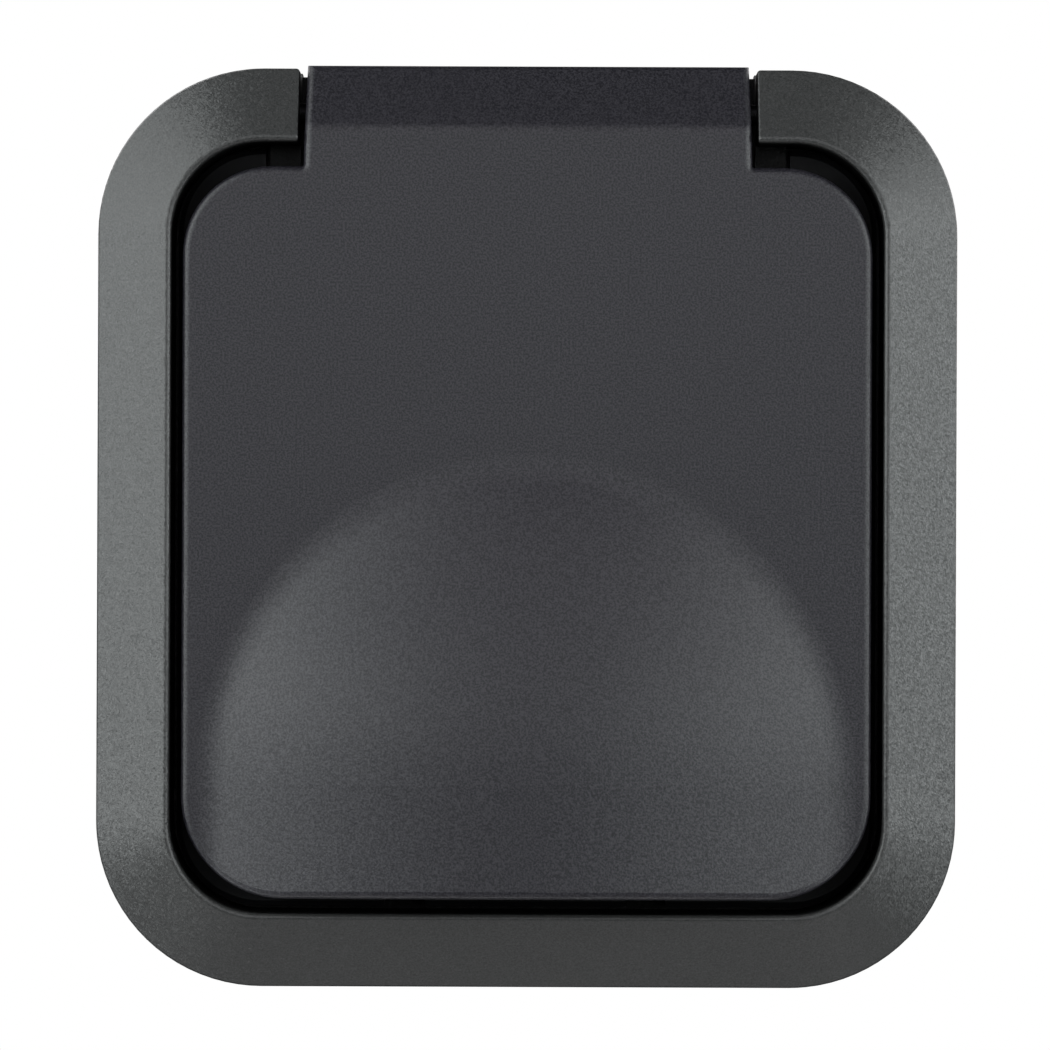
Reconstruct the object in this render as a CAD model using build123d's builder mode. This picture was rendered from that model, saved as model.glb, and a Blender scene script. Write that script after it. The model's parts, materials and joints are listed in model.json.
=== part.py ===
"""Outdoor flush-mounted socket outlet with a sprung weather lid.

X runs to the right, Y into the wall and Z up. The origin is on the wall face, on the axis of the wall box.
Depths count from the wall face out into the room, so a point at depth d has y = -d.
All sizes are in millimetres.
"""

import os
from math import acos, atan2, cos, hypot, radians, sin, sqrt, tan

from build123d import *

# Cover frame: a bevelled rectangular ring that stands on the wall
frame_width = 85.0
frame_height = 90.8
frame_corner = 16.4
frame_depth = 16.1
band_width = 7.4
bevel_tilt = 31.1
crest_round = 0.4
crest_trim = 0.5
frame_edge_ease = 0.15
frame_wall = 2.0
frame_rib = 1.2
rib_spacing = 24.0
flange_thickness = 2.0
flange_side = 5.1
flange_end = 7.0
flange_corner = 6.0
gap_edge_round = 0.3
gap_corner_round = 0.4

# Gaskets
wall_gasket_thickness = 1.0
wall_gasket_inset = 0.8
wall_gasket_width = 5.0
wall_gasket_tongue = 2.0
plate_seal_thickness = 0.8
plate_seal_width = 2.6
plate_seal_margin = 0.6

# Hinge: the lid's tab stands in a gap in the frame's top
tab_end_margin = 20.4
tab_side_gap = 0.5
boss_width = 3.05
boss_foot_height = 2.9
boss_foot_drop = 2.4
bridge_thickness = 3.4
bridge_drop = 0.35
hinge_drop = 4.4
hinge_inset = 4.5
hinge_pin_radius = 1.0
hinge_pin_end_gap = 0.35
hinge_pin_ease = 0.25
saddle_depth = 2.2
snap_narrowing = 0.2

# Clearances between pieces
seat_clearance = 0.03
running_clearance = 0.05
joint_clearance = 0.1

# Lid
lid_side_gap = 1.2
lid_top_gap = 2.5
lid_bottom_gap = 1.5
lid_top_corner = 8.7
lid_bottom_corner = 10.1
lid_recess = 0.1
skirt_height = 5.4
shoulder_height = 3.0
lid_wall = 2.2
skirt_wall = 1.8
lid_draft = 3.0
lid_edge_round = 0.75
dome_margin = 2.9
dome_centre_rise = 11.3
dome_rise = 6.6
dome_blend = 7.0
tab_crease_drop = 6.1
tab_proud = 0.3
tab_setback = 4.0
tab_return = 3.4
tab_wall = 2.0
tab_crease_round = 2.0
tab_neck_round = 0.2
tab_taper = 0.27
neck_rise = 1.2
tab_rib_gap = 0.2
cheek_wall = 2.0
knuckle_radius = 2.3
knuckle_length = 5.0

# Lid spring
spring_wire = 0.7
spring_mean_radius = 1.55
spring_turns = 6
spring_start = 5.0
spring_room = 0.3
spring_slot_margin = 0.2
spring_leg_reach = 2.0

# Lid seal
seal_radius = 23.1
seal_width = 2.3
seal_lip_width = 1.0
seal_shoulder = 0.2
seal_groove_depth = 1.0
seal_groove_drop = 0.2
seal_compression_gap = 0.05
seal_side_clearance = 0.05
collar_wall = 0.9

# Centre plate and plug well
plate_clearance = 0.4
plate_thickness = 2.2
plate_corner_ease = 0.3
plate_edge_ease = 0.5
rim_setback = 4.0
rim_height = 3.5
rim_width = 2.9
well_radius = 19.75
well_wall = 1.95
well_depth = 17.5
well_floor = 2.0
well_lip = 0.8
guide_width = 5.0
guide_reach = 2.5
pin_spacing = 19.0
pin_length = 19.0
pin_hole_radius = 2.75
earth_slot_width = 5.0
earth_slot_inner = 15.0
earth_slot_bite = 1.0
earth_slot_height = 11.0
boss_radius = 4.5
post_radius = 2.4
post_length = 2.4
drain_width = 4.0
drain_depth = 2.0
drain_offset = 12.0

# Fasteners
screw_radius = 1.5
screw_head_radius = 3.0
screw_head_height = 1.8
screw_head_room = 0.3
screw_slot_width = 0.8
screw_slot_depth = 0.9
screw_length = 9.0
screw_recess = 2.1
head_ease = 0.4
rivet_radius = 1.2
rivet_head_radius = 2.2
rivet_head_height = 0.8
rivet_length = 4.0
rivet_circle = 25.1
cover_screw_radius = 1.1
cover_screw_head = 2.0
cover_screw_head_height = 1.0
cover_screw_length = 8.0
cover_screw_x = 10.5
cover_screw_z = 15.5

# Support ring
ring_margin = 0.1
ring_corner = 9.0
ring_thickness = 1.0
ring_bore_clearance = 0.9
box_screw_spacing = 60.0
box_slot_width = 3.6
box_slot_length = 6.4
ring_notch_width = 6.0
ring_notch_depth = 2.0
ring_notch_spacing = 40.0

# Socket insert
insert_radius = 27.0
insert_width = 47.0
insert_height = 53.0
cup_clearance = 0.6
back_thickness = 2.0
hollow_wall = 1.8
hollow_height = 12.9
hollow_width = 16.0

# Shutter
shutter_radius = 14.0
shutter_thickness = 1.5
shutter_angle = 36.0
shutter_hole_radius = 2.9
shutter_clearance = 0.3
shutter_spring_wire = 0.5
shutter_spring_radius = 3.3
shutter_spring_turns = 3

# Contacts and terminals
strip_thickness = 0.7
contact_width = 5.0
contact_root = 5.2
contact_throat = 4.4
contact_mouth = 7.2
contact_mouth_drop = 1.7
contact_flare = 3.8
contact_end_gap = 0.7
contact_reach = 20.4
contact_room_width = 8.0
contact_room_height = 9.2
terminal_bar_height = 14.0
terminal_bar_rise = 9.2
terminal_pitch = 9.4
terminal_offset = 17.6
terminal_room_inner = 13.4
terminal_room_half = 7.4
terminal_room_depth = 3.8
terminal_room_gap = 0.2
terminal_room_ease = 1.0
wire_hole_radius = 1.7
clamp_strip = 0.4
clamp_width = 4.0
clamp_inset = 0.3
clamp_drop = 0.4
clamp_rise = 7.2
clamp_tip_gap = 0.15
earth_strip = 0.8
earth_width = 4.0
earth_clip_radius = 18.6
earth_clip_rise = 8.7
earth_clip_bow = 2.3
earth_bow_rise = 4.5
earth_tongue_step = 1.8
earth_bar_half = 7.0
earth_bar_depth = 4.6

# Release levers
lever_width = 4.0
lever_height = 4.0
lever_offset = 16.8
lever_proud = 2.2
lever_bar_inset = 0.5
lever_bar_width = 1.9
lever_bar_length = 13.0
lever_bar_thickness = 1.4
lever_edge_round = 0.4
lever_clearance = 0.15

# Frame and lid, worked out from the sizes above
frame_top = frame_height / 2
opening_width = frame_width - 2 * band_width
opening_height = frame_height - 2 * band_width
opening_corner = frame_corner - band_width
opening_top = opening_height / 2
bevel_slope = tan(radians(bevel_tilt))
bevel_drop = band_width * bevel_slope
crest_rise = crest_round * (cos(radians(bevel_tilt)) - 1 + bevel_slope * (1 + sin(radians(bevel_tilt))))
sharp_crest = frame_depth + crest_rise
bevel_edge_depth = sharp_crest - bevel_drop
channel_width = band_width - 2 * frame_wall
channel_top = bevel_edge_depth - frame_wall
frame_back = wall_gasket_thickness
lid_width = opening_width - 2 * lid_side_gap
lid_top = opening_top - lid_top_gap
lid_bottom = opening_top - lid_bottom_gap
lid_height = lid_top + lid_bottom
lid_middle = (lid_top - lid_bottom) / 2
lid_front = frame_depth - lid_recess
lid_inside = lid_front - lid_wall
lid_skirt_back = lid_front - skirt_height
lid_shoulder_back = lid_front - shoulder_height
dome_radius = lid_width / 2 - dome_margin
dome_centre_height = dome_centre_rise - lid_bottom
dome_sphere = (dome_radius**2 + dome_rise**2) / (2 * dome_rise)
dome_centre_depth = lid_front + dome_rise - dome_sphere

# Hinge places
hinge_height = frame_top - hinge_drop
hinge_depth = frame_depth - hinge_inset
tab_width = frame_width - 2 * tab_end_margin
tab_crease_height = frame_top - tab_crease_drop
tab_top_height = frame_top + tab_proud
tab_top_depth = lid_front - tab_setback
tab_return_depth = tab_top_depth - tab_return
tab_slope = tab_setback / (tab_top_height - tab_crease_height)
slot_half = tab_width / 2 + tab_side_gap
boss_outer = slot_half + boss_width
bridge_front = frame_back + bridge_thickness
bridge_top = frame_top - bridge_drop
hinge_pin_length = 2 * (slot_half + saddle_depth - hinge_pin_end_gap)

# Centre plate, seals and flange places
rim_front = lid_front - rim_setback
plate_front = rim_front - rim_height
plate_back = plate_front - plate_thickness
flange_front = plate_back - plate_seal_thickness
flange_back = flange_front - flange_thickness
flange_opening_width = opening_width - 2 * flange_side
flange_opening_height = opening_height - 2 * flange_end
plate_notch_half = boss_outer + plate_clearance
plate_notch_height = opening_top - boss_foot_height - plate_clearance
seal_back = rim_front + seal_compression_gap
seal_groove_bottom = lid_inside - seal_groove_drop
collar_back = seal_groove_bottom - seal_groove_depth
tube_radius = well_radius + well_wall
floor_front = rim_front - well_depth
floor_back = floor_front - well_floor
screw_seat = floor_front - screw_recess

# Insert places, from the well's floor backwards
ring_width = opening_width - 2 * ring_margin
ring_bore = tube_radius + ring_bore_clearance
cup_radius = tube_radius + cup_clearance
cup_floor = floor_back - joint_clearance
shutter_front = cup_floor - shutter_clearance
shutter_pocket = shutter_front - shutter_thickness - shutter_clearance
post_back = shutter_pocket - post_length
earth_strap_depth = post_back - joint_clearance
earth_clip_tip = floor_front + earth_clip_rise
earth_bow_depth = floor_front + earth_bow_rise
earth_tongue_outer = contact_reach + earth_strip
contact_mouth_depth = shutter_pocket - contact_mouth_drop
contact_throat_depth = contact_mouth_depth - contact_flare
contact_bottom_depth = floor_front - pin_length - contact_end_gap
strip_bottom = contact_bottom_depth - strip_thickness
terminal_front_depth = contact_bottom_depth + terminal_bar_rise
terminal_room_outer = contact_reach + strip_thickness + terminal_room_gap
clamp_root = terminal_room_inner + clamp_inset
clamp_bottom = contact_bottom_depth - clamp_drop
clamp_tip = clamp_bottom + clamp_rise
cover_front = contact_bottom_depth - terminal_room_depth
insert_back_depth = cover_front - back_thickness
lever_bar_front = cover_front + joint_clearance
lever_back = insert_back_depth - lever_proud
lever_bar_inner = terminal_room_inner + lever_bar_inset
lever_bar_middle = lever_bar_inner + lever_bar_width / 2

# Sketch planes: local axes are (x, z), (depth, z) and (x, depth)
SIDE = Plane(origin=(0, 0, 0), x_dir=(0, -1, 0), z_dir=(-1, 0, 0))


def facing(depth):
    """Plane parallel to the wall at this depth, looking out into the room."""
    return Plane.XZ.offset(depth)


def side(x):
    """Plane across the part at this x, with depth along its first axis."""
    return SIDE.offset(-x)


def plan(z):
    """Horizontal plane at this height, with depth along its second axis."""
    return Plane(origin=(0, 0, z), x_dir=(1, 0, 0), z_dir=(0, 0, -1))


def save(part, name):
    """Label a finished piece and write it as its own file."""
    part.label = name
    export_step(part, f"parts/{name}.step")


os.makedirs("parts", exist_ok=True)

# Cover frame
with BuildPart() as cover_frame:
    with BuildSketch(facing(frame_back)):
        RectangleRounded(frame_width, frame_height, frame_corner)
    trim_height = crest_trim * bevel_slope
    extrude(amount=sharp_crest + trim_height - frame_back)
    front_face = cover_frame.faces().sort_by(Axis.Y)[0]
    bevel_reach = band_width + crest_trim
    chamfer(front_face.edges(), length=bevel_reach, length2=bevel_drop + trim_height, reference=front_face)
    bevel_edge = cover_frame.edges().filter_by(
        lambda e: abs(e.bounding_box().max.Y + bevel_edge_depth) < 0.01 and e.bounding_box().size.Y < 0.01
    )
    chamfer(bevel_edge, frame_edge_ease)
    # Lid opening, which trims the bevel to a sharp crest, then rounded
    with BuildSketch(facing(flange_front)):
        RectangleRounded(opening_width, opening_height, opening_corner)
    extrude(amount=frame_depth, mode=Mode.SUBTRACT)
    crest = cover_frame.edges().filter_by(
        lambda e: abs(e.bounding_box().max.Y + sharp_crest) < 0.01 and e.bounding_box().size.Y < 0.01
    )
    fillet(crest, crest_round)
    # Room behind the flange for the support ring
    with BuildSketch(facing(frame_back)):
        RectangleRounded(opening_width, opening_height, opening_corner)
    extrude(amount=flange_back - frame_back, mode=Mode.SUBTRACT)
    with BuildSketch(facing(flange_back)):
        RectangleRounded(flange_opening_width, flange_opening_height, flange_corner)
    extrude(amount=flange_thickness, mode=Mode.SUBTRACT)
    # Hollow under the bevel, left solid at the hinge bosses and crossed by ribs
    with BuildSketch(facing(frame_back)) as channel:
        outer_inset = 2 * frame_wall
        RectangleRounded(frame_width - outer_inset, frame_height - outer_inset, frame_corner - frame_wall)
        RectangleRounded(
            opening_width + outer_inset,
            opening_height + outer_inset,
            opening_corner + frame_wall,
            mode=Mode.SUBTRACT,
        )
        with Locations((0, frame_height / 2)):
            Rectangle(2 * boss_outer, 4 * channel_width, mode=Mode.SUBTRACT)
    extrude(amount=wall_gasket_tongue + joint_clearance, mode=Mode.SUBTRACT)
    with BuildSketch(facing(frame_back + wall_gasket_tongue)):
        add(channel.sketch.moved(Location((0, -wall_gasket_tongue, 0))))
        with GridLocations(0, rib_spacing, 1, 3):
            Rectangle(2 * frame_width, frame_rib, mode=Mode.SUBTRACT)
        with GridLocations(rib_spacing, 0, 2, 1):
            Rectangle(frame_rib, 2 * frame_height, mode=Mode.SUBTRACT)
    extrude(amount=channel_top - frame_back - wall_gasket_tongue, mode=Mode.SUBTRACT)
    # Gap in the top for the lid's hinge tab, with a low bridge left behind it
    with BuildSketch(facing(bridge_front)):
        with Locations((0, opening_top)):
            Rectangle(2 * slot_half, frame_height, align=(Align.CENTER, Align.MIN))
    extrude(amount=frame_depth, mode=Mode.SUBTRACT)
    with BuildSketch(facing(0)):
        with Locations((0, bridge_top)):
            Rectangle(2 * slot_half, frame_height, align=(Align.CENTER, Align.MIN))
    extrude(amount=frame_depth, mode=Mode.SUBTRACT)
    gap_edges = cover_frame.edges().filter_by(
        lambda e: abs(abs(e.center().X) - slot_half) < 0.01
        and e.bounding_box().size.Z > band_width / 2
        and e.bounding_box().size.Y > bevel_drop / 2
    )
    fillet(gap_edges, gap_edge_round)
    with BuildSketch(facing(bridge_front)):
        with Locations((0, frame_top)):
            Rectangle(2 * (slot_half + gap_corner_round), 2 * gap_corner_round)
        with GridLocations(2 * (slot_half + gap_corner_round), 0, 2, 1):
            with Locations((0, frame_top - gap_corner_round)):
                Circle(gap_corner_round, mode=Mode.SUBTRACT)
    extrude(amount=frame_depth, mode=Mode.SUBTRACT)
    # Feet of the hinge bosses, standing on the flange
    with BuildSketch(facing(flange_front)):
        with GridLocations(slot_half + boss_outer, 0, 2, 1):
            with Locations((0, opening_top - boss_foot_height)):
                Rectangle(boss_width, boss_foot_height + crest_round, align=(Align.CENTER, Align.MIN))
    extrude(amount=lid_skirt_back - boss_foot_drop - flange_front)
    # Saddles that the hinge pin snaps into from behind
    for end in (-1, 1):
        with BuildSketch(side(end * (slot_half + saddle_depth / 2))):
            with Locations((hinge_depth, hinge_height)):
                Circle(hinge_pin_radius + seat_clearance)
                mouth_height = 2 * (hinge_pin_radius - snap_narrowing)
                Rectangle(hinge_depth, mouth_height, align=(Align.MAX, Align.CENTER))
        extrude(amount=saddle_depth / 2, both=True, mode=Mode.SUBTRACT)
save(cover_frame.part, "cover_frame")

# Wall gasket: a flat rubber ring with a tongue up into the hollow of the frame
with BuildPart() as wall_gasket:
    gasket_width = frame_width - 2 * wall_gasket_inset
    gasket_height = frame_height - 2 * wall_gasket_inset
    gasket_corner = frame_corner - wall_gasket_inset
    with BuildSketch(facing(0)):
        RectangleRounded(gasket_width, gasket_height, gasket_corner)
        RectangleRounded(
            gasket_width - 2 * wall_gasket_width,
            gasket_height - 2 * wall_gasket_width,
            gasket_corner - wall_gasket_width,
            mode=Mode.SUBTRACT,
        )
    extrude(amount=wall_gasket_thickness)
    with BuildSketch(facing(wall_gasket_thickness)):
        inset = 2 * (frame_wall + joint_clearance)
        RectangleRounded(frame_width - inset, frame_height - inset, frame_corner - inset / 2)
        RectangleRounded(
            opening_width + inset, opening_height + inset, opening_corner + inset / 2, mode=Mode.SUBTRACT
        )
        with Locations((0, frame_height / 2)):
            Rectangle(2 * (boss_outer + joint_clearance), 4 * channel_width, mode=Mode.SUBTRACT)
    extrude(amount=wall_gasket_tongue - joint_clearance)
save(wall_gasket.part, "wall_gasket")

# Lid front: a flat face with the grip dome blended into it
with BuildPart() as lid_dome:
    with Locations((0, -dome_centre_depth, dome_centre_height)):
        Sphere(dome_sphere)
    with BuildSketch(plan(dome_centre_height)):
        with Locations((0, dome_centre_depth)):
            Circle(dome_sphere)
    extrude(amount=frame_height)
    split(bisect_by=facing(lid_inside), keep=Keep.TOP)

with BuildPart() as lid_face:
    with BuildSketch(facing(0)):
        with Locations((0, dome_centre_height)):
            Rectangle(2 * frame_width, 2 * frame_height)
    extrude(amount=lid_front)
    add(lid_dome.part)
    foot = lid_face.faces().filter_by(Axis.Y).sort_by(Axis.Y)[0]
    dome_edges = foot.edges().filter_by(lambda e: abs(e.center().X) < 1.01 * dome_radius)
    dome_edges = dome_edges.filter_by(lambda e: e.center().Z > dome_centre_height - frame_height + 1)
    fillet(dome_edges, dome_blend)

# Hollow behind the lid's wall, with the seal collar left standing in it
with BuildPart() as lid_hollow:
    with Locations((0, -dome_centre_depth, dome_centre_height)):
        Sphere(dome_sphere - lid_wall)
    with BuildSketch(plan(dome_centre_height)):
        with Locations((0, dome_centre_depth)):
            Circle(dome_sphere - lid_wall)
    extrude(amount=frame_height)
    split(bisect_by=facing(lid_inside), keep=Keep.TOP)
    with BuildSketch(facing(0)):
        with Locations((0, lid_middle)):
            Rectangle(2 * frame_width, 2 * frame_height)
    extrude(amount=lid_inside)
    with BuildSketch(facing(0)) as inner_outline:
        with Locations((0, lid_middle)):
            Rectangle(lid_width - 2 * skirt_wall, lid_height - 2 * skirt_wall)
        fillet(inner_outline.vertices().group_by(Axis.Y)[-1], lid_top_corner - skirt_wall)
        fillet(inner_outline.vertices().group_by(Axis.Y)[0], lid_bottom_corner - skirt_wall)
    extrude(amount=lid_front + 2 * dome_rise, mode=Mode.INTERSECT)
    with BuildSketch(facing(collar_back)):
        Circle(seal_radius + seal_width / 2 + seal_side_clearance + collar_wall)
        Circle(seal_radius - seal_width / 2 - seal_side_clearance - collar_wall, mode=Mode.SUBTRACT)
    extrude(amount=lid_front + 2 * dome_rise, mode=Mode.SUBTRACT)

# Hinge tab, a little narrower at its top
with BuildPart() as hinge_tab:
    tab_foot = lid_top - skirt_wall / 2
    with BuildSketch(side(0)):
        with BuildLine():
            Polyline(
                (lid_shoulder_back, tab_foot),
                (lid_front, tab_foot),
                (lid_front, tab_crease_height),
                (tab_top_depth, tab_top_height),
                (tab_return_depth, tab_top_height),
                (tab_return_depth, hinge_height + knuckle_radius),
                (hinge_depth - knuckle_radius, hinge_height - knuckle_radius),
                (lid_shoulder_back, lid_top + neck_rise),
                close=True,
            )
        make_face()
    extrude(amount=tab_width / 2, both=True)
    for end in (-1, 1):
        inward = (-end * (tab_top_height - tab_foot), 0, -tab_taper)
        split(bisect_by=Plane(origin=(end * tab_width / 2, 0, tab_foot), z_dir=inward), keep=Keep.TOP)

with BuildPart() as lid:
    flare = (lid_front - lid_skirt_back) * tan(radians(lid_draft))
    with BuildSketch(facing(lid_skirt_back)) as outline:
        with Locations((0, lid_middle)):
            Rectangle(lid_width + 2 * flare, lid_height + 2 * flare)
        fillet(outline.vertices().group_by(Axis.Y)[-1], lid_top_corner + flare)
        fillet(outline.vertices().group_by(Axis.Y)[0], lid_bottom_corner + flare)
    extrude(amount=lid_front - lid_skirt_back + 1.5 * dome_rise, taper=lid_draft)
    add(lid_face.part, mode=Mode.INTERSECT)
    # Shallower skirt along the top, where the lid swings past the frame
    with BuildSketch(facing(0)):
        with Locations((0, lid_top - skirt_wall)):
            Rectangle(2 * lid_width, lid_height, align=(Align.CENTER, Align.MIN))
    extrude(amount=lid_shoulder_back, mode=Mode.SUBTRACT)
    add(hinge_tab.part)
    crease = lid.edges().filter_by(Axis.X).filter_by(
        lambda e: abs(e.center().Y + lid_front) < 0.01 and abs(e.center().Z - tab_crease_height) < 0.01
    )
    fillet(crease, tab_crease_round)
    neck = lid.edges().filter_by(
        lambda e: abs(abs(e.center().X) - tab_width / 2) < 0.1
        and abs(e.center().Z - lid_top) < 0.4
        and e.bounding_box().size.Y > 1
    )
    fillet(neck, tab_neck_round)
    fronts = lid.faces().filter_by(lambda f: f.normal_at().Y < -0.5)
    walls = lid.faces().filter_by(lambda f: -0.3 < f.normal_at().Y < 0.3)
    wall_edges = walls.edges()
    rim_edges = ShapeList(e for e in fronts.edges() if any(e.is_same(w) for w in wall_edges))
    fillet(rim_edges, lid_edge_round)
    add(lid_hollow.part, mode=Mode.SUBTRACT)
    # Hollow inside the tab, open to the back
    rise = tab_top_height - tab_crease_height
    slope_length = sqrt(rise**2 + (lid_front - tab_top_depth) ** 2)
    inner_top = tab_top_height - tab_wall
    inner_slope = tab_wall * slope_length / rise
    with BuildSketch(side(0)):
        with BuildLine():
            Polyline(
                (0, inner_top),
                (tab_top_depth + tab_slope * tab_wall - inner_slope, inner_top),
                (lid_inside, tab_crease_height + (lid_wall - inner_slope) / tab_slope),
                (lid_inside, lid_top + tab_rib_gap),
                (0, lid_top + tab_rib_gap),
                close=True,
            )
        make_face()
    extrude(amount=tab_width / 2 - cheek_wall, both=True, mode=Mode.SUBTRACT)
    # Knuckles on the pin, bored through together with the cheeks
    for end in (-1, 1):
        with BuildSketch(side(end * (tab_width / 2 - cheek_wall))):
            with Locations((hinge_depth, hinge_height)):
                Circle(knuckle_radius)
        extrude(amount=end * knuckle_length)
    with BuildSketch(side(0)):
        with Locations((hinge_depth, hinge_height)):
            Circle(hinge_pin_radius + running_clearance)
    extrude(amount=tab_width, both=True, mode=Mode.SUBTRACT)
    # Room for the spring coil, and a slot that lets its fixed leg through the tab's top wall
    with BuildSketch(side(spring_start - spring_room)):
        with Locations((hinge_depth, hinge_height)):
            Circle(spring_mean_radius + spring_wire / 2 + spring_room)
    extrude(amount=-(spring_turns * spring_wire + 2 * spring_room), mode=Mode.SUBTRACT)
    with BuildSketch(side(spring_start - spring_room)):
        with Locations((0, inner_top - tab_wall)):
            Rectangle(hinge_depth - spring_slot_margin, 3 * tab_wall, align=Align.MIN)
    extrude(amount=-(spring_wire + 2 * spring_room), mode=Mode.SUBTRACT)
    # Groove for the seal
    with BuildSketch(facing(collar_back)):
        Circle(seal_radius + seal_width / 2 + seal_side_clearance)
        Circle(seal_radius - seal_width / 2 - seal_side_clearance, mode=Mode.SUBTRACT)
    extrude(amount=seal_groove_depth, mode=Mode.SUBTRACT)
save(lid.part, "lid")

# Lid seal: a rubber ring with a narrower lip that meets the rim of the well
with BuildPart() as lid_seal:
    with BuildSketch(plan(0)):
        with BuildLine():
            Polyline(
                (seal_radius - seal_width / 2, seal_groove_bottom),
                (seal_radius + seal_width / 2, seal_groove_bottom),
                (seal_radius + seal_width / 2, collar_back + seal_shoulder),
                (seal_radius + seal_lip_width / 2, seal_back),
                (seal_radius - seal_lip_width / 2, seal_back),
                (seal_radius - seal_width / 2, collar_back + seal_shoulder),
                close=True,
            )
        make_face()
    revolve(axis=Axis.Y)
save(lid_seal.part, "lid_seal")

# Hinge pin
with BuildPart() as hinge_pin:
    with BuildSketch(side(0)):
        with Locations((hinge_depth, hinge_height)):
            Circle(hinge_pin_radius)
    extrude(amount=hinge_pin_length / 2, both=True)
    chamfer(hinge_pin.edges(), hinge_pin_ease)
save(hinge_pin.part, "hinge_pin")

# Lid spring: a close-wound torsion coil round the pin, one leg under the tab's top, one on the frame
coil_bore = spring_mean_radius - spring_wire / 2
coil_crest = spring_mean_radius + spring_wire / 2
coil = [(spring_start, coil_bore), (spring_start + spring_turns * spring_wire, coil_bore)]
for turn in range(spring_turns, 0, -1):
    coil.append((spring_start + turn * spring_wire, spring_mean_radius + spring_wire / 4))
    coil.append((spring_start + (turn - 0.5) * spring_wire, coil_crest))
coil.append((spring_start, spring_mean_radius + spring_wire / 4))
with BuildPart() as lid_spring:
    with BuildSketch(plan(hinge_height)):
        with BuildLine():
            Polyline(*[(x, hinge_depth + r) for x, r in coil], close=True)
        make_face()
    revolve(axis=Axis((0, -hinge_depth, hinge_height), (1, 0, 0)))
    leg_radius = 0.44 * spring_wire
    moving_tip = (hinge_depth - spring_leg_reach, inner_top - leg_radius - joint_clearance)
    fixed_tip = (bridge_front + spring_wire, opening_top + spring_wire / 2 + joint_clearance)
    for turn, (tip_depth, tip_height), sense in ((spring_turns - 0.5, moving_tip, -1), (0.5, fixed_tip, 1)):
        place = spring_start + turn * spring_wire
        across, up = tip_depth - hinge_depth, tip_height - hinge_height
        angle = atan2(up, across) + sense * acos(spring_mean_radius / hypot(across, up))
        root_depth = hinge_depth + spring_mean_radius * cos(angle)
        root = Vector(place, -root_depth, hinge_height + spring_mean_radius * sin(angle))
        leg = Vector(place, -tip_depth, tip_height) - root
        with BuildSketch(Plane(origin=root, z_dir=leg)):
            Circle(leg_radius)
        extrude(amount=leg.length)
save(lid_spring.part, "lid_spring")

# Centre plate: border, sealing rim, plug well and the post that the centre screw goes through
with BuildPart() as centre_plate:
    with BuildSketch(facing(plate_back)):
        RectangleRounded(
            opening_width - 2 * plate_clearance,
            opening_height - 2 * plate_clearance,
            opening_corner - plate_clearance - plate_corner_ease,
        )
    extrude(amount=plate_thickness)
    chamfer(centre_plate.faces().sort_by(Axis.Y)[0].edges(), plate_edge_ease)
    # Notch round the hinge, and two drain notches at the bottom
    with BuildSketch(facing(plate_back)):
        with Locations((0, plate_notch_height)):
            Rectangle(2 * plate_notch_half, frame_height, align=(Align.CENTER, Align.MIN))
        with GridLocations(2 * drain_offset, 0, 2, 1):
            with Locations((0, plate_clearance - opening_top)):
                Rectangle(drain_width, 2 * drain_depth)
    extrude(amount=plate_thickness, mode=Mode.SUBTRACT)
    with BuildSketch(facing(plate_back)):
        Circle(tube_radius + rim_width)
    extrude(amount=rim_front - plate_back)
    with BuildSketch(facing(floor_back)):
        Circle(tube_radius)
    extrude(amount=plate_back - floor_back)
    # Well: round, with two guide ribs that start below the rim
    with BuildSketch(facing(floor_front)):
        Circle(well_radius)
        with GridLocations(2 * well_radius, 0, 2, 1):
            Rectangle(2 * guide_reach, guide_width, mode=Mode.SUBTRACT)
    extrude(amount=well_depth, mode=Mode.SUBTRACT)
    with BuildSketch(facing(plate_front)):
        Circle(well_radius)
    extrude(amount=well_depth, mode=Mode.SUBTRACT)
    lip = centre_plate.faces().sort_by(Axis.Y)[0]
    chamfer(lip.edges(), well_lip)
    # Slots for the earth clips, pin holes and the screw's recess
    with BuildSketch(facing(floor_back)):
        for end in (-1, 1):
            with Locations((0, end * (earth_slot_inner + well_radius + earth_slot_bite) / 2)):
                Rectangle(earth_slot_width, well_radius + earth_slot_bite - earth_slot_inner)
    extrude(amount=well_floor + earth_slot_height, mode=Mode.SUBTRACT)
    with BuildSketch(facing(floor_back)):
        with GridLocations(pin_spacing, 0, 2, 1):
            Circle(pin_hole_radius)
    extrude(amount=well_floor, mode=Mode.SUBTRACT)
    with BuildSketch(facing(floor_back)):
        Circle(boss_radius)
    extrude(amount=shutter_pocket - floor_back)
    with BuildSketch(facing(shutter_pocket)):
        Circle(post_radius)
    extrude(amount=post_back - shutter_pocket)
    with BuildSketch(facing(screw_seat)):
        Circle(screw_head_radius + screw_head_room)
    extrude(amount=well_floor + screw_head_height, mode=Mode.SUBTRACT)
    with BuildSketch(facing(post_back)):
        Circle(screw_radius + joint_clearance)
    extrude(amount=well_depth, mode=Mode.SUBTRACT)
save(centre_plate.part, "centre_plate")

# Plate seal between the centre plate and the frame's flange
with BuildPart() as plate_seal:
    with BuildSketch(facing(flange_front)):
        inner = 2 * plate_seal_margin
        outer = inner + 2 * plate_seal_width
        RectangleRounded(
            flange_opening_width + outer, flange_opening_height + outer, flange_corner + outer / 2
        )
        RectangleRounded(
            flange_opening_width + inner,
            flange_opening_height + inner,
            flange_corner + inner / 2,
            mode=Mode.SUBTRACT,
        )
    extrude(amount=plate_seal_thickness)
save(plate_seal.part, "plate_seal")

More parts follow.
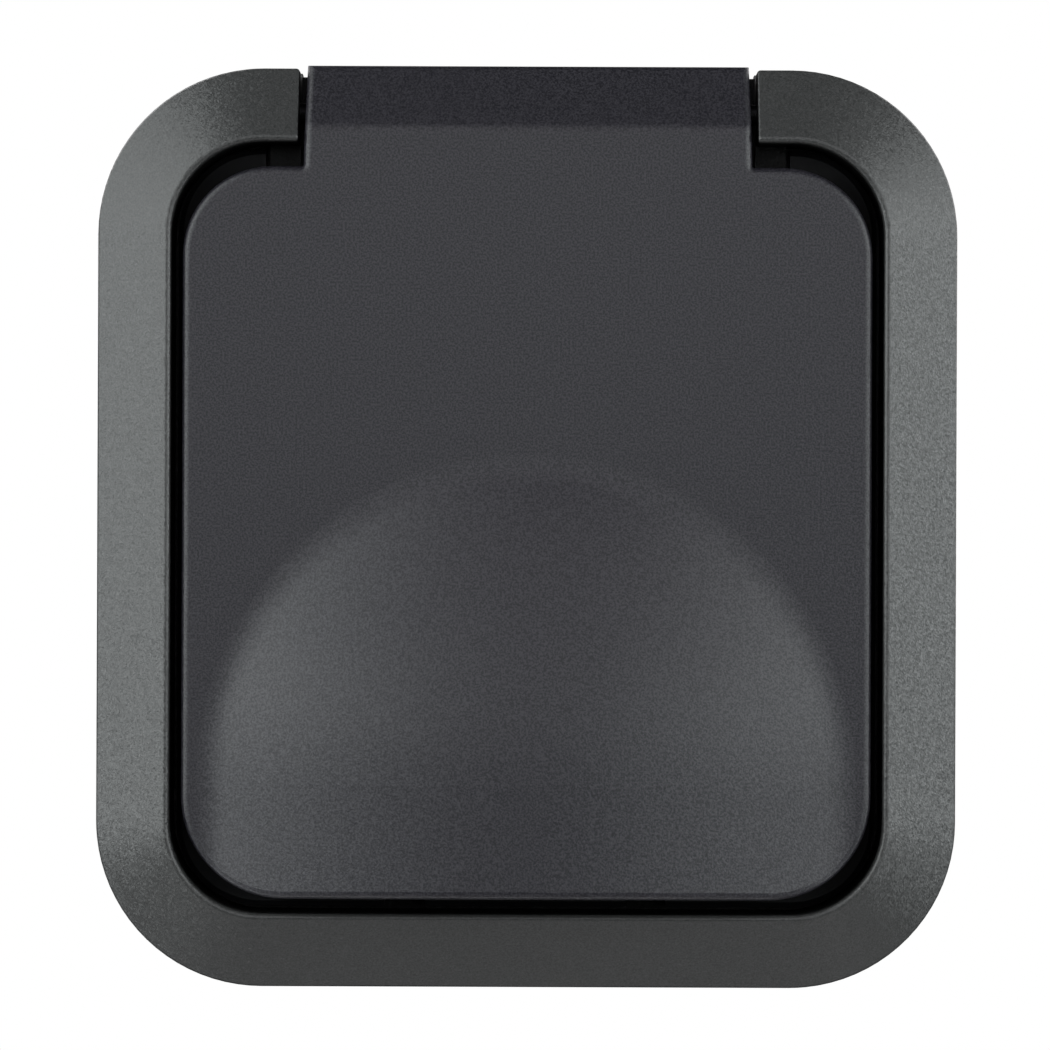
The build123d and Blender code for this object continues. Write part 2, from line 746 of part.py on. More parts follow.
# Centre screw, slotted, screwed into the earth bracket
with BuildPart() as centre_screw:
    with BuildSketch(facing(screw_seat)):
        Circle(screw_head_radius)
    extrude(amount=screw_head_height)
    chamfer(centre_screw.faces().sort_by(Axis.Y)[0].edges(), head_ease)
    with BuildSketch(facing(screw_seat)):
        Circle(screw_radius)
    extrude(amount=-screw_length)
    chamfer(centre_screw.faces().sort_by(Axis.Y)[-1].edges(), head_ease)
    with BuildSketch(facing(screw_seat + screw_head_height - screw_slot_depth)):
        Rectangle(screw_slot_width, 3 * screw_head_radius)
    extrude(amount=screw_slot_depth, mode=Mode.SUBTRACT)
save(centre_screw.part, "centre_screw")

# Support ring: pressed steel, with slots for the wall-box screws in both directions
with BuildPart() as support_ring:
    with BuildSketch(facing(0)):
        RectangleRounded(ring_width, ring_width, ring_corner)
        Circle(ring_bore, mode=Mode.SUBTRACT)
        with GridLocations(box_screw_spacing, 0, 2, 1):
            SlotOverall(box_slot_length, box_slot_width, mode=Mode.SUBTRACT)
        with GridLocations(0, box_screw_spacing, 1, 2):
            SlotOverall(box_slot_length, box_slot_width, rotation=90, mode=Mode.SUBTRACT)
        with PolarLocations(rivet_circle, 2, start_angle=45):
            Circle(rivet_radius + seat_clearance, mode=Mode.SUBTRACT)
        with GridLocations(ring_width, ring_notch_spacing, 2, 2):
            Rectangle(2 * ring_notch_depth, ring_notch_width, mode=Mode.SUBTRACT)
        with GridLocations(ring_notch_spacing, ring_width, 2, 2):
            Rectangle(ring_notch_width, 2 * ring_notch_depth, mode=Mode.SUBTRACT)
    extrude(amount=ring_thickness)
save(support_ring.part, "support_ring")

# Rivets that hold the ring on the insert
with BuildPart() as ring_rivets:
    with BuildSketch(facing(ring_thickness)):
        with PolarLocations(rivet_circle, 2, start_angle=45):
            Circle(rivet_head_radius)
    extrude(amount=rivet_head_height)
    chamfer(ring_rivets.faces().group_by(Axis.Y)[0].edges(), head_ease)
    with BuildSketch(facing(ring_thickness)):
        with PolarLocations(rivet_circle, 2, start_angle=45):
            Circle(rivet_radius)
    extrude(amount=-(ring_thickness + rivet_length))
save(ring_rivets.part, "ring_rivets")

# Insert base: the moulded block in the wall box, open at the back for the contacts
with BuildPart() as insert_base:
    with BuildSketch(facing(cover_front)):
        Circle(insert_radius)
        Rectangle(insert_width, insert_height, mode=Mode.INTERSECT)
    extrude(amount=-cover_front)
    with BuildSketch(facing(cup_floor)):
        Circle(cup_radius)
    extrude(amount=-cup_floor, mode=Mode.SUBTRACT)
    with BuildSketch(facing(shutter_pocket)):
        Circle(shutter_radius + shutter_clearance)
    extrude(amount=cup_floor - shutter_pocket, mode=Mode.SUBTRACT)
    with BuildSketch(facing(earth_strap_depth)):
        Circle(shutter_spring_radius + shutter_spring_wire + shutter_clearance)
    extrude(amount=shutter_pocket - earth_strap_depth, mode=Mode.SUBTRACT)
    # Bed for the earth bracket
    with BuildSketch(facing(earth_strap_depth - earth_strip - joint_clearance)):
        Rectangle(
            earth_width + 2 * joint_clearance,
            2 * (earth_clip_radius + earth_strip + joint_clearance),
        )
        with Locations((0, -earth_tongue_outer - joint_clearance)):
            Rectangle(
                2 * (earth_bar_half + joint_clearance),
                earth_bar_depth + 2 * joint_clearance,
                align=(Align.CENTER, Align.MIN),
            )
    extrude(amount=cup_floor - earth_strap_depth + earth_strip + joint_clearance, mode=Mode.SUBTRACT)
    # Chambers for the contacts and their terminals
    with BuildSketch(facing(cover_front)):
        with GridLocations(pin_spacing, 0, 2, 1):
            Rectangle(contact_room_width, contact_room_height)
    extrude(amount=shutter_pocket - cover_front, mode=Mode.SUBTRACT)
    with BuildSketch(facing(cover_front)):
        with GridLocations(terminal_room_inner + terminal_room_outer, 0, 2, 1):
            Rectangle(terminal_room_outer - terminal_room_inner, 2 * terminal_room_half)
        with Locations((0, -terminal_room_inner)):
            Rectangle(
                2 * terminal_room_half,
                earth_tongue_outer + terminal_room_gap - terminal_room_inner,
                align=(Align.CENTER, Align.MAX),
            )
    extrude(amount=terminal_front_depth - cover_front + terminal_room_ease, mode=Mode.SUBTRACT)
    with BuildSketch(facing(terminal_front_depth)):
        with Locations((0, -earth_tongue_outer - joint_clearance)):
            Rectangle(
                2 * (earth_bar_half + joint_clearance),
                earth_strip + 2 * joint_clearance,
                align=(Align.CENTER, Align.MIN),
            )
    extrude(amount=cup_floor - terminal_front_depth, mode=Mode.SUBTRACT)
    # Empty upper half, and holes for the screws and rivets
    with BuildSketch(facing(cover_front)):
        with Locations((0, terminal_room_half + hollow_wall)):
            Rectangle(hollow_width, hollow_height, align=(Align.CENTER, Align.MIN))
    extrude(amount=terminal_front_depth - cover_front, mode=Mode.SUBTRACT)
    with BuildSketch(facing(cover_front)):
        with GridLocations(2 * cover_screw_x, 0, 2, 1):
            with Locations((0, cover_screw_z)):
                Circle(cover_screw_radius + seat_clearance)
    extrude(amount=cover_screw_length, mode=Mode.SUBTRACT)
    with BuildSketch(facing(0)):
        with PolarLocations(rivet_circle, 2, start_angle=45):
            Circle(rivet_radius + seat_clearance)
    extrude(amount=-rivet_length - joint_clearance, mode=Mode.SUBTRACT)
    with BuildSketch(facing(screw_seat - screw_length - screw_head_room)):
        Circle(screw_radius + screw_head_room)
    extrude(amount=screw_length, mode=Mode.SUBTRACT)
save(insert_base.part, "insert_base")

# Insert back: cover with wire entries and openings for the release levers
with BuildPart() as insert_back:
    with BuildSketch(facing(insert_back_depth)):
        Circle(insert_radius)
        Rectangle(insert_width, insert_height, mode=Mode.INTERSECT)
        with GridLocations(2 * terminal_offset, terminal_pitch, 2, 2):
            Circle(wire_hole_radius, mode=Mode.SUBTRACT)
        with Locations((0, -terminal_offset)):
            with GridLocations(terminal_pitch, 0, 2, 1):
                Circle(wire_hole_radius, mode=Mode.SUBTRACT)
        with Locations((-lever_offset, 0), (lever_offset, 0), (0, -lever_offset)):
            Rectangle(
                lever_width + 2 * lever_clearance,
                lever_height + 2 * lever_clearance,
                mode=Mode.SUBTRACT,
            )
        with GridLocations(2 * cover_screw_x, 0, 2, 1):
            with Locations((0, cover_screw_z)):
                Circle(cover_screw_radius + joint_clearance, mode=Mode.SUBTRACT)
    extrude(amount=back_thickness)
save(insert_back.part, "insert_back")

# Screws of the back cover
with BuildPart() as cover_screws:
    with BuildSketch(facing(insert_back_depth)):
        with GridLocations(2 * cover_screw_x, 0, 2, 1):
            with Locations((0, cover_screw_z)):
                Circle(cover_screw_head)
    extrude(amount=-cover_screw_head_height)
    chamfer(cover_screws.faces().group_by(Axis.Y)[-1].edges(), head_ease)
    with BuildSketch(facing(insert_back_depth)):
        with GridLocations(2 * cover_screw_x, 0, 2, 1):
            with Locations((0, cover_screw_z)):
                Circle(cover_screw_radius)
    extrude(amount=back_thickness + cover_screw_length - joint_clearance)
    with BuildSketch(facing(insert_back_depth - cover_screw_head_height)):
        with GridLocations(2 * cover_screw_x, 0, 2, 1):
            with Locations((0, cover_screw_z)):
                Rectangle(3 * cover_screw_head, screw_slot_width)
    extrude(amount=cover_screw_head_height / 2, mode=Mode.SUBTRACT)
save(cover_screws.part, "cover_screws")

# Shutter disc: covers the pin holes until it is turned
with BuildPart() as shutter:
    with BuildSketch(facing(shutter_front - shutter_thickness)):
        Circle(shutter_radius)
        Circle(boss_radius + running_clearance, mode=Mode.SUBTRACT)
        with PolarLocations(pin_spacing / 2, 2, start_angle=shutter_angle):
            Circle(shutter_hole_radius, mode=Mode.SUBTRACT)
    extrude(amount=shutter_thickness)
save(shutter.part, "shutter")

# Shutter spring: a short torsion coil round the post, under the disc
with BuildPart() as shutter_spring:
    with BuildSketch(facing(earth_strap_depth + shutter_clearance)):
        Circle(shutter_spring_radius + shutter_spring_wire / 2)
        Circle(shutter_spring_radius - shutter_spring_wire / 2, mode=Mode.SUBTRACT)
    extrude(amount=shutter_spring_turns * shutter_spring_wire)
save(shutter_spring.part, "shutter_spring")

# Line and neutral contacts: a sprung fork for the plug pin, joined to a terminal bar
fork = [
    (strip_bottom, contact_root / 2 + strip_thickness),
    (contact_throat_depth, contact_throat / 2 + strip_thickness),
    (contact_mouth_depth, contact_mouth / 2 + strip_thickness),
    (contact_mouth_depth, contact_mouth / 2),
    (contact_throat_depth, contact_throat / 2),
    (contact_bottom_depth, contact_root / 2),
]
fork_outline = fork + [(d, -z) for d, z in reversed(fork)]
with BuildPart() as line_contact:
    with BuildSketch(side(-pin_spacing / 2)):
        with BuildLine():
            Polyline(*fork_outline, close=True)
        make_face()
    extrude(amount=contact_width / 2, both=True)
    with BuildSketch(facing(strip_bottom)):
        with Locations((-pin_spacing / 2 + contact_width / 2, 0)):
            Rectangle(
                contact_reach + strip_thickness - pin_spacing / 2 + contact_width / 2,
                contact_width,
                align=(Align.MAX, Align.CENTER),
            )
    extrude(amount=strip_thickness)
    with BuildSketch(facing(strip_bottom)):
        with Locations((-contact_reach, 0)):
            Rectangle(strip_thickness, terminal_bar_height, align=(Align.MAX, Align.CENTER))
    extrude(amount=terminal_front_depth - strip_bottom)
save(line_contact.part, "line_contact")

with BuildPart() as neutral_contact:
    add(line_contact.part.mirror(Plane.YZ))
save(neutral_contact.part, "neutral_contact")

# Earth bracket: a strap across the insert with a sprung clip at each end and two terminal tongues
clip = [
    (earth_strap_depth - earth_strip, earth_clip_radius + earth_strip),
    (floor_front + earth_strip / 2, earth_clip_radius + earth_strip),
    (earth_bow_depth, earth_clip_radius - earth_clip_bow + earth_strip),
    (earth_clip_tip - earth_strip / 2, earth_clip_radius + earth_strip),
    (earth_clip_tip, earth_clip_radius),
    (earth_bow_depth, earth_clip_radius - earth_clip_bow),
    (floor_front, earth_clip_radius),
    (earth_strap_depth, earth_clip_radius),
]
bracket_outline = clip + [(d, -z) for d, z in reversed(clip)]
with BuildPart() as earth_bracket:
    with BuildSketch(side(0)):
        with BuildLine():
            Polyline(*bracket_outline, close=True)
        make_face()
    extrude(amount=earth_width / 2, both=True)
    with BuildSketch(facing(earth_strap_depth - earth_strip)):
        with Locations((0, -earth_tongue_outer)):
            Rectangle(2 * earth_bar_half, earth_bar_depth, align=(Align.CENTER, Align.MIN))
    extrude(amount=earth_strip)
    with BuildSketch(facing(contact_bottom_depth)):
        with Locations((0, -earth_tongue_outer)):
            with GridLocations(terminal_pitch, 0, 2, 1):
                Rectangle(clamp_width + earth_strip, earth_strip, align=(Align.CENTER, Align.MIN))
    extrude(amount=earth_strap_depth - contact_bottom_depth)
    with BuildSketch(facing(earth_strap_depth - earth_strip)):
        Circle(screw_radius + seat_clearance)
    extrude(amount=earth_strip, mode=Mode.SUBTRACT)
save(earth_bracket.part, "earth_bracket")

# Clamp springs of the six screwless terminals
clamp_back = clamp_root + clamp_strip
clamp = [
    (clamp_root, terminal_front_depth - clamp_drop),
    (clamp_back, terminal_front_depth - clamp_drop),
    (clamp_back, clamp_bottom + 1.5 * clamp_strip),
    (clamp_back + 1.5 * clamp_strip, clamp_bottom + clamp_strip),
    (contact_reach - clamp_tip_gap - clamp_strip, clamp_tip),
    (contact_reach - clamp_tip_gap, clamp_tip - clamp_strip),
    (clamp_back + 2 * clamp_strip, clamp_bottom),
    (clamp_root, clamp_bottom + clamp_strip / 2),
]
with BuildPart() as terminal_springs:
    for level in (-1, 1):
        with BuildSketch(plan(level * terminal_pitch / 2)):
            for hand in (-1, 1):
                with BuildLine():
                    Polyline(*[(hand * x, d) for x, d in clamp], close=True)
                make_face()
        extrude(amount=clamp_width / 2, both=True)
        with BuildSketch(side(level * terminal_pitch / 2)):
            with BuildLine():
                Polyline(*[(d, -z) for z, d in clamp], close=True)
            make_face()
        extrude(amount=clamp_width / 2, both=True)
save(terminal_springs.part, "terminal_springs")

# Release levers: a push button through the back cover, with a bar that bears on both clamps
with BuildPart() as line_lever:
    with BuildSketch(facing(lever_back)):
        with Locations((-lever_offset, 0)):
            Rectangle(lever_width, lever_height)
    extrude(amount=lever_bar_front + lever_bar_thickness - lever_back)
    fillet(line_lever.faces().sort_by(Axis.Y)[-1].edges(), lever_edge_round)
    with BuildSketch(facing(lever_bar_front)):
        with Locations((-lever_bar_middle, 0)):
            Rectangle(lever_bar_width, lever_bar_length)
    extrude(amount=lever_bar_thickness)
save(line_lever.part, "line_lever")

with BuildPart() as neutral_lever:
    add(line_lever.part.mirror(Plane.YZ))
save(neutral_lever.part, "neutral_lever")

with BuildPart() as earth_lever:
    add(line_lever.part.rotate(Axis.Y, -90))
save(earth_lever.part, "earth_lever")
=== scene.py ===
"""Looks of the outdoor weatherproof socket: finishes, wound springs, terminal marks, camera and light.

Everything is in metres, in the part's own frame: X to the right, Y into the wall, Z up.
Sizes that are named in millimetres are scaled where they are used.
"""

import json
import math

import bpy
from mathutils import Matrix, Vector


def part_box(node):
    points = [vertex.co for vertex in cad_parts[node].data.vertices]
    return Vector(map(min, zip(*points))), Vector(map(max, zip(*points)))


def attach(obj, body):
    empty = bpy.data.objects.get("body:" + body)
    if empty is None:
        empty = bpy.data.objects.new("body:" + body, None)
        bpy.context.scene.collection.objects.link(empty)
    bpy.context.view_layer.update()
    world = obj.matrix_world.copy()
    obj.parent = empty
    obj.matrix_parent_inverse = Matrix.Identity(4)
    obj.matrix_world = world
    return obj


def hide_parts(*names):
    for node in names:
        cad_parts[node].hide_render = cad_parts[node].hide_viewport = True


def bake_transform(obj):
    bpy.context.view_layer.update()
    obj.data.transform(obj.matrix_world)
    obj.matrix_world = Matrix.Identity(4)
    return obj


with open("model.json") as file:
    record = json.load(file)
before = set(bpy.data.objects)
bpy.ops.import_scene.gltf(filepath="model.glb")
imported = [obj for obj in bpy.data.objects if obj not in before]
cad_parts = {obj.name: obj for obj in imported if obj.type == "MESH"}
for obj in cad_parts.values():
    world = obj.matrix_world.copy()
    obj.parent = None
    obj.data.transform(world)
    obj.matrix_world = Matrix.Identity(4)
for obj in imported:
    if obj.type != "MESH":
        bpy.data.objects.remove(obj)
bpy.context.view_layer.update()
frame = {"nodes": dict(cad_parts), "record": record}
nodes = frame["nodes"]

MM = 0.001

# Camera, straight in front of the socket
IMAGE_SIDE = 1050
FOCAL_PIXELS = 6577
SENSOR_WIDTH = 36.0
CAMERA_DISTANCE = 0.6626
CAMERA_ROLL = math.radians(0.22)
CENTRE_SHIFT = (-1.7 / IMAGE_SIDE, 3.25 / IMAGE_SIDE)

# Floor, in metres, with a glow that keeps it pale from every side
FLOOR_HEIGHT = -0.75
FLOOR_SIDE = 5.0
FLOOR_LIGHT = (0.84, 0.84, 0.84)
FLOOR_DARK = (0.80, 0.80, 0.80)
FLOOR_CLOUD = 400.0
FLOOR_GLOW = 0.72

# Studio: each soft light's angle from the front and elevation in degrees, width and height in metres,
# brightness and colour; all stand at one distance and face the socket
FILL_LIGHT = 0.02
LIGHT_DISTANCE = 0.8
COOL = (0.955, 1.0, 1.0)
NEUTRAL = (1.0, 0.99, 1.0)
VIOLET = (1.0, 0.975, 1.02)
SOFT_LIGHTS = {
    "left_key": (-62, 22, 0.75, 1.08, 2.80, COOL),
    "right_key": (62, 18, 0.77, 0.60, 2.40, COOL),
    "left_edge": (-86, -24, 0.20, 1.10, 4.00, COOL),
    "right_edge": (85, -9, 0.46, 0.93, 2.65, COOL),
    "front_left": (-30, 7, 0.55, 0.12, 5.50, COOL),
    "front_right": (31, 3, 0.56, 0.26, 3.05, COOL),
    "front_centre": (0, 8, 0.12, 0.10, 4.70, VIOLET),
    "top_panel": (5, 36, 0.90, 0.36, 0.95, VIOLET),
    "low_panel": (0, -60, 1.20, 0.50, 0.58, NEUTRAL),
    "left_upper": (-60, 20, 0.30, 0.36, 0.80, COOL),
    "right_upper": (47, 46, 0.35, 0.35, 0.35, COOL),
    "left_lower": (-52, -36, 0.45, 0.45, 0.25, NEUTRAL),
    "right_lower": (43, -50, 0.45, 0.35, 0.25, NEUTRAL),
    "left_strip": (-76, 0, 0.06, 0.30, 4.00, COOL),
    "right_strip": (76, 0, 0.06, 0.30, 5.00, COOL),
    "under_strip": (0, -93, 0.80, 0.12, 5.00, NEUTRAL),
    "back_left": (-140, 30, 0.60, 0.60, 2.60, NEUTRAL),
    "back_right": (140, 20, 0.60, 0.60, 2.20, NEUTRAL),
}

# Noise values taken as the lowest and highest of a grain, a cloud of tone and the lid's sharper speckle
GRAIN_RANGE = (0.3, 0.7)
CLOUD_RANGE = (0.35, 0.65)
SPECKLE_RANGE = (0.41, 0.59)

# Frame and lid: colours and roughness in the grain's hollows and on its tops, the colour darker in the
# hollows as painted shade besides its random tone, the grain's size and depth in millimetres, and how far its
# tiny facets lean
PLASTIC_IOR = 1.5
GRAIN_ROUGHNESS = 0.6
FACET_SIZE = 0.20
FRAME_DARK = (0.019, 0.0195, 0.0193)
FRAME_LIGHT = (0.045, 0.0455, 0.0453)
FRAME_ROUGHNESS = (0.34, 0.29)
FRAME_GRAIN_SIZE = 0.18
FRAME_GRAIN_DEPTH = 0.029
FRAME_FACET_LEAN = 0.15
LID_DARK = (0.0005, 0.0002, 0.0030)
LID_LIGHT = (0.0215, 0.0202, 0.0255)
LID_ROUGHNESS = (0.46, 0.40)
LID_GRAIN_SIZE = 0.20
LID_GRAIN_DEPTH = 0.018
LID_FACET_LEAN = 0.06

# The frame's inner walls, painted dark and dull as shade, in millimetres: half the opening's width and
# height, the depth out from the wall that they stay below, and half the width of the hinge gap above the
# opening
OPENING_HALF = (35.15, 38.05)
INNER_WALL_DEPTH = 13.9
HINGE_GAP_HALF = 22.7
INNER_WALL_SHADE = (0.004, 0.004, 0.004)
INNER_WALL_SHADE_SHINE = (0.15, 0.15, 0.15)

# Plain mouldings: light and dark tone, roughness, grain size and depth in millimetres, and shine
MOULDED_CLOUD = 5.0
MOULDED_SPREAD = 0.05
MOULDED_FINISHES = {
    # Well: black plastic, made darker and duller still as painted shade for the deep channel around the lid.
    "well_plastic": ((0.0065, 0.0065, 0.0075), (0.005, 0.005, 0.0058), 0.6, 0.2, 0.008, 0.2),
    "seal_rubber": ((0.016, 0.016, 0.016), (0.012, 0.012, 0.012), 0.72, 0.15, 0.01, 0.5),
    "insert_plastic": ((0.56, 0.55, 0.52), (0.545, 0.535, 0.505), 0.5, 0.3, 0.006, 0.5),
    "shutter_plastic": ((0.16, 0.16, 0.17), (0.14, 0.14, 0.15), 0.45, 0.3, 0.004, 0.5),
    "lever_plastic": ((0.78, 0.26, 0.05), (0.70, 0.22, 0.04), 0.42, 0.3, 0.004, 0.5),
}

# Metals: light and dark tone, roughness, and a scale along each axis, where a small one draws out the marks
METAL_CLOUD = 2.5
METAL_SPREAD = 0.08
MARK_SIZE = 0.12
MARK_DEPTH = 0.004
METAL_FINISHES = {
    "pin_steel": ((0.022, 0.022, 0.023), (0.014, 0.014, 0.015), 0.5, (0.05, 1, 1)),
    "spring_steel": ((0.52, 0.52, 0.53), (0.44, 0.44, 0.45), 0.28, (1, 1, 0.2)),
    "zinc_steel": ((0.66, 0.66, 0.64), (0.56, 0.57, 0.57), 0.38, (0.1, 1, 1)),
    "contact_brass": ((0.80, 0.62, 0.28), (0.72, 0.53, 0.22), 0.3, (1, 0.1, 1)),
}

# Lid spring, in millimetres: hinge axis and leg tips as depth and height, the coil's radius and its ends
# across, and the degrees between its points
HINGE = (11.6, 41.0)
FIXED_TIP = (5.1, 38.45)
MOVING_TIP = (9.6, 43.29)
LID_COIL_RADIUS = 1.55
LID_COIL_TURNS = 6
LID_COIL_ENDS = (5.35, 8.85)
LID_COIL_STEP = 12
LID_WIRE_RADIUS = 0.3

# Shutter spring, wound round the depth axis
SHUTTER_COIL_RADIUS = 3.3
SHUTTER_COIL_TURNS = 3
SHUTTER_COIL_ENDS = (-11.68, -10.62)
SHUTTER_TURN_POINTS = 40
SHUTTER_WIRE_RADIUS = 0.18

# Terminal marks moulded on the back: place across and up on the back face, then strokes as seen from behind
STROKE_WIDTH = 0.45
STROKE_RAISE = 0.2
STROKE_SINK = 0.05
TERMINAL_MARKS = {
    "line": ((-12.0, 0.0), [((-0.8, 1.3), (-0.8, -1.3)), ((-0.8, -1.3), (0.8, -1.3))]),
    "neutral": (
        (12.0, 0.0),
        [((-0.8, -1.3), (-0.8, 1.3)), ((-0.8, 1.3), (0.8, -1.3)), ((0.8, -1.3), (0.8, 1.3))],
    ),
    "earth": (
        (0.0, -12.0),
        [
            ((0, 1.4), (0, 0.1)),
            ((-1.3, 0.1), (1.3, 0.1)),
            ((-0.85, -0.5), (0.85, -0.5)),
            ((-0.4, -1.1), (0.4, -1.1)),
        ],
    ),
}


def use(tree, kind, **settings):
    """Add a shader node and set its properties."""
    node = tree.nodes.new(kind)
    for key, value in settings.items():
        setattr(node, key, value)
    return node


def give(tree, socket, value):
    """Link an output to a socket, or set a constant there."""
    if isinstance(value, bpy.types.NodeSocket):
        tree.links.new(value, socket)
    else:
        socket.default_value = value


def feed(tree, node, **inputs):
    """Give a node's inputs their values by name."""
    for key, value in inputs.items():
        name = "IOR" if key == "ior" else key.replace("_", " ").title()
        give(tree, node.inputs[name], value)


def combine(tree, operation, *values, kind="ShaderNodeMath"):
    """The result of a maths node, each value an output or a constant."""
    node = use(tree, kind, operation=operation)
    for socket, value in zip(node.inputs, values):
        give(tree, socket, value)
    return node.outputs[0]


def coordinates(tree):
    """The piece's own coordinates, in millimetres."""
    place = use(tree, "ShaderNodeTexCoord")
    scaled = use(tree, "ShaderNodeVectorMath", operation="SCALE")
    tree.links.new(place.outputs["Object"], scaled.inputs[0])
    scaled.inputs["Scale"].default_value = 1 / MM
    return scaled.outputs[0]


def noise(tree, where, size, detail=2.0, roughness=0.5):
    """Noise with features of about this size in millimetres."""
    node = use(tree, "ShaderNodeTexNoise")
    feed(tree, node, vector=where, scale=1 / size, detail=detail, roughness=roughness)
    return node.outputs[0]


def remap(tree, value, low, high, to_low=0.0, to_high=1.0):
    """Map a range of values to another, clamped."""
    node = use(tree, "ShaderNodeMapRange")
    feed(tree, node, value=value, from_min=low, from_max=high, to_min=to_low, to_max=to_high)
    return node.outputs["Result"]


def tint(tree, share, first, second):
    """A colour between two colours, each an output or a constant, by a share from 0 to 1."""
    node = use(tree, "ShaderNodeMix", data_type="RGBA")
    tree.links.new(share, node.inputs["Factor"])
    for key, colour in (("A", first), ("B", second)):
        give(tree, node.inputs[key], (*colour, 1) if isinstance(colour, tuple) else colour)
    return node.outputs["Result"]


def facets(tree, where, size, lean):
    """A normal that leans a little differently in each tiny cell of about this size in millimetres."""
    vectors = "ShaderNodeVectorMath"
    cell = use(tree, "ShaderNodeTexVoronoi")
    feed(tree, cell, vector=where, scale=1 / size)
    surface = use(tree, "ShaderNodeNewGeometry")
    offset = combine(tree, "SUBTRACT", cell.outputs["Color"], (0.5, 0.5, 0.5), kind=vectors)
    offset = combine(tree, "MULTIPLY", offset, (lean, lean, lean), kind=vectors)
    leaning = combine(tree, "ADD", offset, surface.outputs["Normal"], kind=vectors)
    return combine(tree, "NORMALIZE", leaning, kind=vectors)


def bump(tree, height, depth, normal=None):
    """A bump normal from a height of 0 to 1, this many millimetres deep, on top of another normal."""
    node = use(tree, "ShaderNodeBump")
    feed(tree, node, height=height, distance=depth * MM)
    if normal is not None:
        tree.links.new(normal, node.inputs["Normal"])
    return node.outputs["Normal"]


def shaded_inner_walls(tree, where):
    """1 where shade is painted: on the frame's walls inside its opening and in the hinge gap, 0 elsewhere."""
    place = use(tree, "ShaderNodeSeparateXYZ")
    tree.links.new(where, place.inputs[0])
    x, y, z = place.outputs
    across = combine(tree, "ABSOLUTE", x)
    beside = combine(tree, "LESS_THAN", across, OPENING_HALF[0])
    level = combine(tree, "LESS_THAN", combine(tree, "ABSOLUTE", z), OPENING_HALF[1])
    deep = combine(tree, "GREATER_THAN", y, -INNER_WALL_DEPTH)
    opening = combine(tree, "MULTIPLY", combine(tree, "MULTIPLY", beside, level), deep)
    above = combine(tree, "GREATER_THAN", z, OPENING_HALF[1])
    gap = combine(tree, "MULTIPLY", combine(tree, "LESS_THAN", across, HINGE_GAP_HALF), above)
    return combine(tree, "MAXIMUM", opening, gap)


def start_material(name):
    """A new node material: its tree, its main shader and the piece's coordinates."""
    material = bpy.data.materials.new(name)
    material.use_nodes = True
    tree = material.node_tree
    return material, tree, tree.nodes["Principled BSDF"], coordinates(tree)


def frame_plastic():
    """Anthracite plastic with a sparkling leathery grain and a satin sheen, with shade painted dark and dull
    on the inner walls.
    """
    material, tree, shader, where = start_material("frame_plastic")
    grain = noise(tree, where, FRAME_GRAIN_SIZE, roughness=GRAIN_ROUGHNESS)
    walls = shaded_inner_walls(tree, where)
    # Grain tone: random speckle, darker in the grain's hollows as painted shade.
    colour = tint(tree, remap(tree, grain, *GRAIN_RANGE), FRAME_DARK, FRAME_LIGHT)
    # Painted shade: the inner walls get a near-black colour and a dimmed shine, standing in for the shadow
    # deep in the channel.
    feed(tree, shader, base_color=tint(tree, walls, colour, INNER_WALL_SHADE), ior=PLASTIC_IOR)
    feed(tree, shader, specular_tint=tint(tree, walls, (1, 1, 1), INNER_WALL_SHADE_SHINE))
    feed(tree, shader, roughness=remap(tree, grain, *GRAIN_RANGE, *FRAME_ROUGHNESS))
    lean = facets(tree, where, FACET_SIZE, FRAME_FACET_LEAN)
    feed(tree, shader, normal=bump(tree, grain, FRAME_GRAIN_DEPTH, lean))
    return material


def lid_plastic():
    """Slightly bluish anthracite plastic with a fine matt speckle."""
    material, tree, shader, where = start_material("lid_plastic")
    grain = noise(tree, where, LID_GRAIN_SIZE, roughness=GRAIN_ROUGHNESS)
    # Speckle tone: random, darker in the grain's hollows as painted shade.
    colour = tint(tree, remap(tree, grain, *SPECKLE_RANGE), LID_DARK, LID_LIGHT)
    feed(tree, shader, base_color=colour, ior=PLASTIC_IOR)
    feed(tree, shader, roughness=remap(tree, grain, *GRAIN_RANGE, *LID_ROUGHNESS))
    lean = facets(tree, where, FACET_SIZE, LID_FACET_LEAN)
    feed(tree, shader, normal=bump(tree, grain, LID_GRAIN_DEPTH, lean))
    return material


def moulded(name, light, dark, roughness, grain_size, grain_depth, shine):
    """Plain moulded plastic with a fine grain and a slight cloud in its colour."""
    material, tree, shader, where = start_material(name)
    grain = noise(tree, where, grain_size, detail=3.0, roughness=GRAIN_ROUGHNESS)
    cloud = noise(tree, where, MOULDED_CLOUD, detail=4.0)
    rough = remap(tree, grain, *GRAIN_RANGE, roughness - MOULDED_SPREAD, roughness + MOULDED_SPREAD)
    feed(tree, shader, base_color=tint(tree, remap(tree, cloud, *CLOUD_RANGE), dark, light), roughness=rough)
    feed(tree, shader, normal=bump(tree, grain, grain_depth))
    shader.inputs["Specular IOR Level"].default_value = shine
    return material


def metal(name, light, dark, roughness, streak):
    """Metal with drawing or rolling marks along one axis and a little uneven tone."""
    material, tree, shader, where = start_material(name)
    stretched = combine(tree, "MULTIPLY", where, streak, kind="ShaderNodeVectorMath")
    marks = noise(tree, stretched, MARK_SIZE, detail=4.0, roughness=0.7)
    cloud = noise(tree, where, METAL_CLOUD, detail=4.0)
    rough = remap(tree, marks, *GRAIN_RANGE, roughness - METAL_SPREAD, roughness + METAL_SPREAD)
    feed(tree, shader, base_color=tint(tree, remap(tree, cloud, *CLOUD_RANGE), dark, light), roughness=rough)
    feed(tree, shader, metallic=1.0, normal=bump(tree, marks, MARK_DEPTH))
    return material


